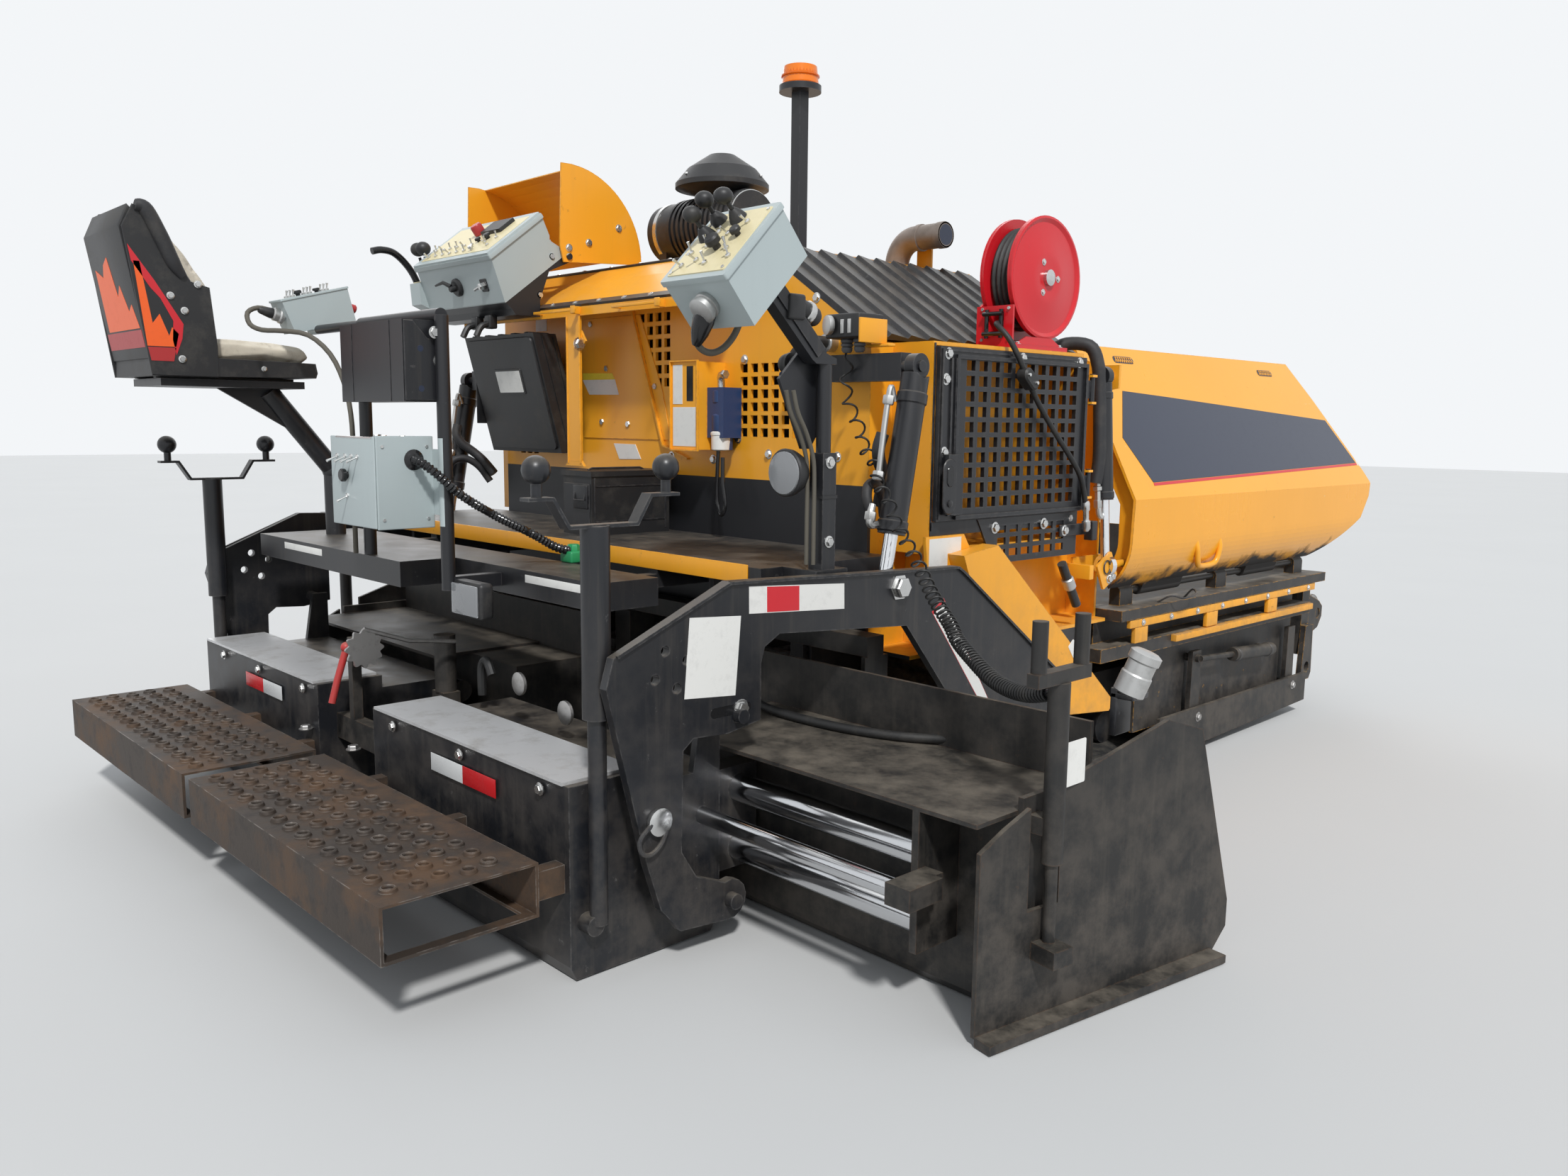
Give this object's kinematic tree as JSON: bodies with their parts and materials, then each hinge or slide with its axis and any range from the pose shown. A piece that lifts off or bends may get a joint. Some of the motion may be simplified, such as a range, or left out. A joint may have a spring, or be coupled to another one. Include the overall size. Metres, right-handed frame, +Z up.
{
  "type": "asphalt paver",
  "caption": "Tracked asphalt paver with a winged front hopper, twin augers, rear operator deck and a screed with sliding extensions.",
  "frame": {"origin": "centre of the machine's bounding box, on the ground", "axes": "+X to the machine's right, +Y forwards to the hopper, +Z up"},
  "size_m": [3.8418, 4.95, 2.48],
  "materials": {
    "yellow_paint": "glossy, dusty",
    "black_paint": "satin, scuffed",
    "track_rubber": "matt, dusty",
    "bare_steel": "worn",
    "grey_cabinet": "satin",
    "red_paint": "glossy",
    "rusty_grating": "rusty, matt",
    "tread_aluminium": "dirty",
    "engine_grey": "matt",
    "exhaust_steel": "heat stained",
    "black_plastic": "matt",
    "seat_vinyl": "worn, matt",
    "chrome_rod": "polished"
  },
  "bodies": {
    "chassis": {"chassis_frame": "black_paint", "cross_members": "black_paint", "front_beam": "black_paint", "struts": "yellow_paint", "lower_grille": "black_paint", "tracks": "track_rubber", "track_frames": "black_paint", "hopper_bed": "black_paint", "conveyor_slats": "bare_steel", "skirts": "black_paint", "body_shell": "yellow_paint", "hood": "yellow_paint", "tread_panel": "black_paint", "engine_block": "engine_grey", "radiator_box": "yellow_paint", "fuel_tank": "yellow_paint", "air_cleaner": "black_plastic", "exhaust_pipe": "exhaust_steel", "beacon_mast": "black_paint", "reel_frame": "red_paint", "operator_deck": "black_paint", "rear_platform": "black_paint", "storage_boxes": "black_paint", "spray_pump": "yellow_paint", "rail_boxes": "black_paint", "lift_bracket": "black_paint", "center_console": "grey_cabinet", "right_mast": "black_paint", "auger_frame": "black_paint"},
    "reel": {"reel_drum": "red_paint"},
    "door": {"grille_door": "black_paint"},
    "seat": {"seat": "seat_vinyl", "seat_arm": "black_paint"},
    "cover": {"console_cover": "yellow_paint"},
    "side_console": {"right_console": "grey_cabinet"},
    "screed": {"screed_frame": "black_paint", "screed_covers": "tread_aluminium", "crown_adjuster": "red_paint", "walkboards": "rusty_grating", "tow_arms": "black_paint", "depth_cranks": "black_paint"},
    "auger_right": {"auger_right": "bare_steel"},
    "push_roller_right": {"push_roller_right": "black_paint"},
    "wing_right": {"wing_right": "yellow_paint"},
    "wing_barrel_right": {"wing_barrel_right": "black_paint"},
    "wing_rod_right": {"wing_rod_right": "chrome_rod"},
    "lift_barrel_right": {"lift_barrel_right": "black_paint"},
    "lift_rod_right": {"lift_rod_right": "chrome_rod"},
    "extension_right": {"extension_right": "black_paint"},
    "end_gate_right": {"end_gate_right": "black_paint"},
    "auger_left": {"auger_left": "bare_steel"},
    "push_roller_left": {"push_roller_left": "black_paint"},
    "wing_left": {"wing_left": "yellow_paint"},
    "wing_barrel_left": {"wing_barrel_left": "black_paint"},
    "wing_rod_left": {"wing_rod_left": "chrome_rod"},
    "lift_barrel_left": {"lift_barrel_left": "black_paint"},
    "lift_rod_left": {"lift_rod_left": "chrome_rod"},
    "extension_left": {"extension_left": "black_paint"},
    "end_gate_left": {"end_gate_left": "black_paint"}
  },
  "joints": [
    {"name": "screed_lift", "type": "hinge", "parent": "chassis", "child": "screed", "pos_m": [-0.3, -0.165, 0.43], "axis": [-1, 0, 0], "range_deg": [0, 5]},
    {"name": "auger_right_turn", "type": "hinge", "parent": "chassis", "child": "auger_right", "pos_m": [0.3, -0.915, 0.3], "axis": [1, 0, 0], "continuous": true},
    {"name": "push_roller_right_turn", "type": "hinge", "parent": "chassis", "child": "push_roller_right", "pos_m": [0.535, 2.375, 0.42], "axis": [1, 0, 0], "continuous": true},
    {"name": "wing_right_fold", "type": "hinge", "parent": "chassis", "child": "wing_right", "pos_m": [0.89, 1.285, 0.712], "axis": [0, 1, 0], "range_deg": [0, 38]},
    {"name": "wing_barrel_right_turn", "type": "hinge", "parent": "chassis", "child": "wing_barrel_right", "pos_m": [0.905, 0.21, 1.49], "axis": [0, -1, 0], "range_deg": [-1, 8]},
    {"name": "wing_rod_right_slide", "type": "slide", "parent": "wing_barrel_right", "child": "wing_rod_right", "axis": [0.068, 0, -0.9977], "range_m": [-0.005, 0.1]},
    {"name": "lift_barrel_right_turn", "type": "hinge", "parent": "chassis", "child": "lift_barrel_right", "pos_m": [0.962, -0.865, 1.48], "axis": [1, 0, 0], "range_deg": [-8, 8]},
    {"name": "lift_rod_right_slide", "type": "slide", "parent": "lift_barrel_right", "child": "lift_rod_right", "axis": [0, -0.1918, -0.9814], "range_m": [-0.12, 0.01]},
    {"name": "auger_left_turn", "type": "hinge", "parent": "chassis", "child": "auger_left", "pos_m": [-0.9, -0.915, 0.3], "axis": [1, 0, 0], "continuous": true},
    {"name": "push_roller_left_turn", "type": "hinge", "parent": "chassis", "child": "push_roller_left", "pos_m": [-1.135, 2.375, 0.42], "axis": [1, 0, 0], "continuous": true},
    {"name": "wing_left_fold", "type": "hinge", "parent": "chassis", "child": "wing_left", "pos_m": [-1.49, 1.285, 0.712], "axis": [0, -1, 0], "range_deg": [0, 38]},
    {"name": "wing_barrel_left_turn", "type": "hinge", "parent": "chassis", "child": "wing_barrel_left", "pos_m": [-1.505, 0.21, 1.49], "axis": [0, 1, 0], "range_deg": [-1, 8]},
    {"name": "wing_rod_left_slide", "type": "slide", "parent": "wing_barrel_left", "child": "wing_rod_left", "axis": [-0.068, 0, -0.9977], "range_m": [-0.005, 0.1]},
    {"name": "lift_barrel_left_turn", "type": "hinge", "parent": "chassis", "child": "lift_barrel_left", "pos_m": [-1.562, -0.865, 1.48], "axis": [1, 0, 0], "range_deg": [-8, 8]},
    {"name": "lift_rod_left_slide", "type": "slide", "parent": "lift_barrel_left", "child": "lift_rod_left", "axis": [0, -0.1918, -0.9814], "range_m": [-0.12, 0.01]},
    {"name": "extension_right_slide", "type": "slide", "parent": "screed", "child": "extension_right", "axis": [1, 0, 0], "range_m": [-0.62, 0.28]},
    {"name": "extension_left_slide", "type": "slide", "parent": "screed", "child": "extension_left", "axis": [-1, 0, 0], "range_m": [-0.02, 0.88]},
    {"name": "end_gate_right_lift", "type": "slide", "parent": "extension_right", "child": "end_gate_right", "axis": [0, 0, 1], "range_m": [0, 0.1]},
    {"name": "end_gate_left_lift", "type": "slide", "parent": "extension_left", "child": "end_gate_left", "axis": [0, 0, 1], "range_m": [0, 0.1]},
    {"name": "reel_turn", "type": "hinge", "parent": "chassis", "child": "reel", "pos_m": [0.84, -0.14, 1.793], "axis": [1, 0, 0], "continuous": true},
    {"name": "grille_door_swing", "type": "hinge", "parent": "chassis", "child": "door", "pos_m": [0.943, 0.08, 1.2], "axis": [0, 0, 1], "range_deg": [0, 100]},
    {"name": "seat_swing", "type": "hinge", "parent": "chassis", "child": "seat", "pos_m": [-1.24, -1.62, 1], "axis": [0, 0, -1], "range_deg": [0, 90]},
    {"name": "console_cover_turn", "type": "hinge", "parent": "chassis", "child": "cover", "pos_m": [-1.085, -0.895, 1.93], "axis": [1, 0, 0], "range_deg": [0, 95]},
    {"name": "side_console_swing", "type": "hinge", "parent": "chassis", "child": "side_console", "pos_m": [0.95, -1.225, 1.5], "axis": [0, 0, 1], "range_deg": [-40, 60]}
  ],
  "couplings": [
    {"joint": "wing_barrel_right_turn", "follows": "wing_right_fold", "ratio": 0.12478},
    {"joint": "wing_rod_right_slide", "follows": "wing_right_fold", "m_per_rad": 0.097169},
    {"joint": "lift_barrel_right_turn", "follows": "screed_lift", "ratio": 0.53756},
    {"joint": "lift_rod_right_slide", "follows": "screed_lift", "m_per_rad": -0.87152},
    {"joint": "wing_barrel_left_turn", "follows": "wing_left_fold", "ratio": 0.12478},
    {"joint": "wing_rod_left_slide", "follows": "wing_left_fold", "m_per_rad": 0.097169},
    {"joint": "lift_barrel_left_turn", "follows": "screed_lift", "ratio": 0.53756},
    {"joint": "lift_rod_left_slide", "follows": "screed_lift", "m_per_rad": -0.87152}
  ]
}
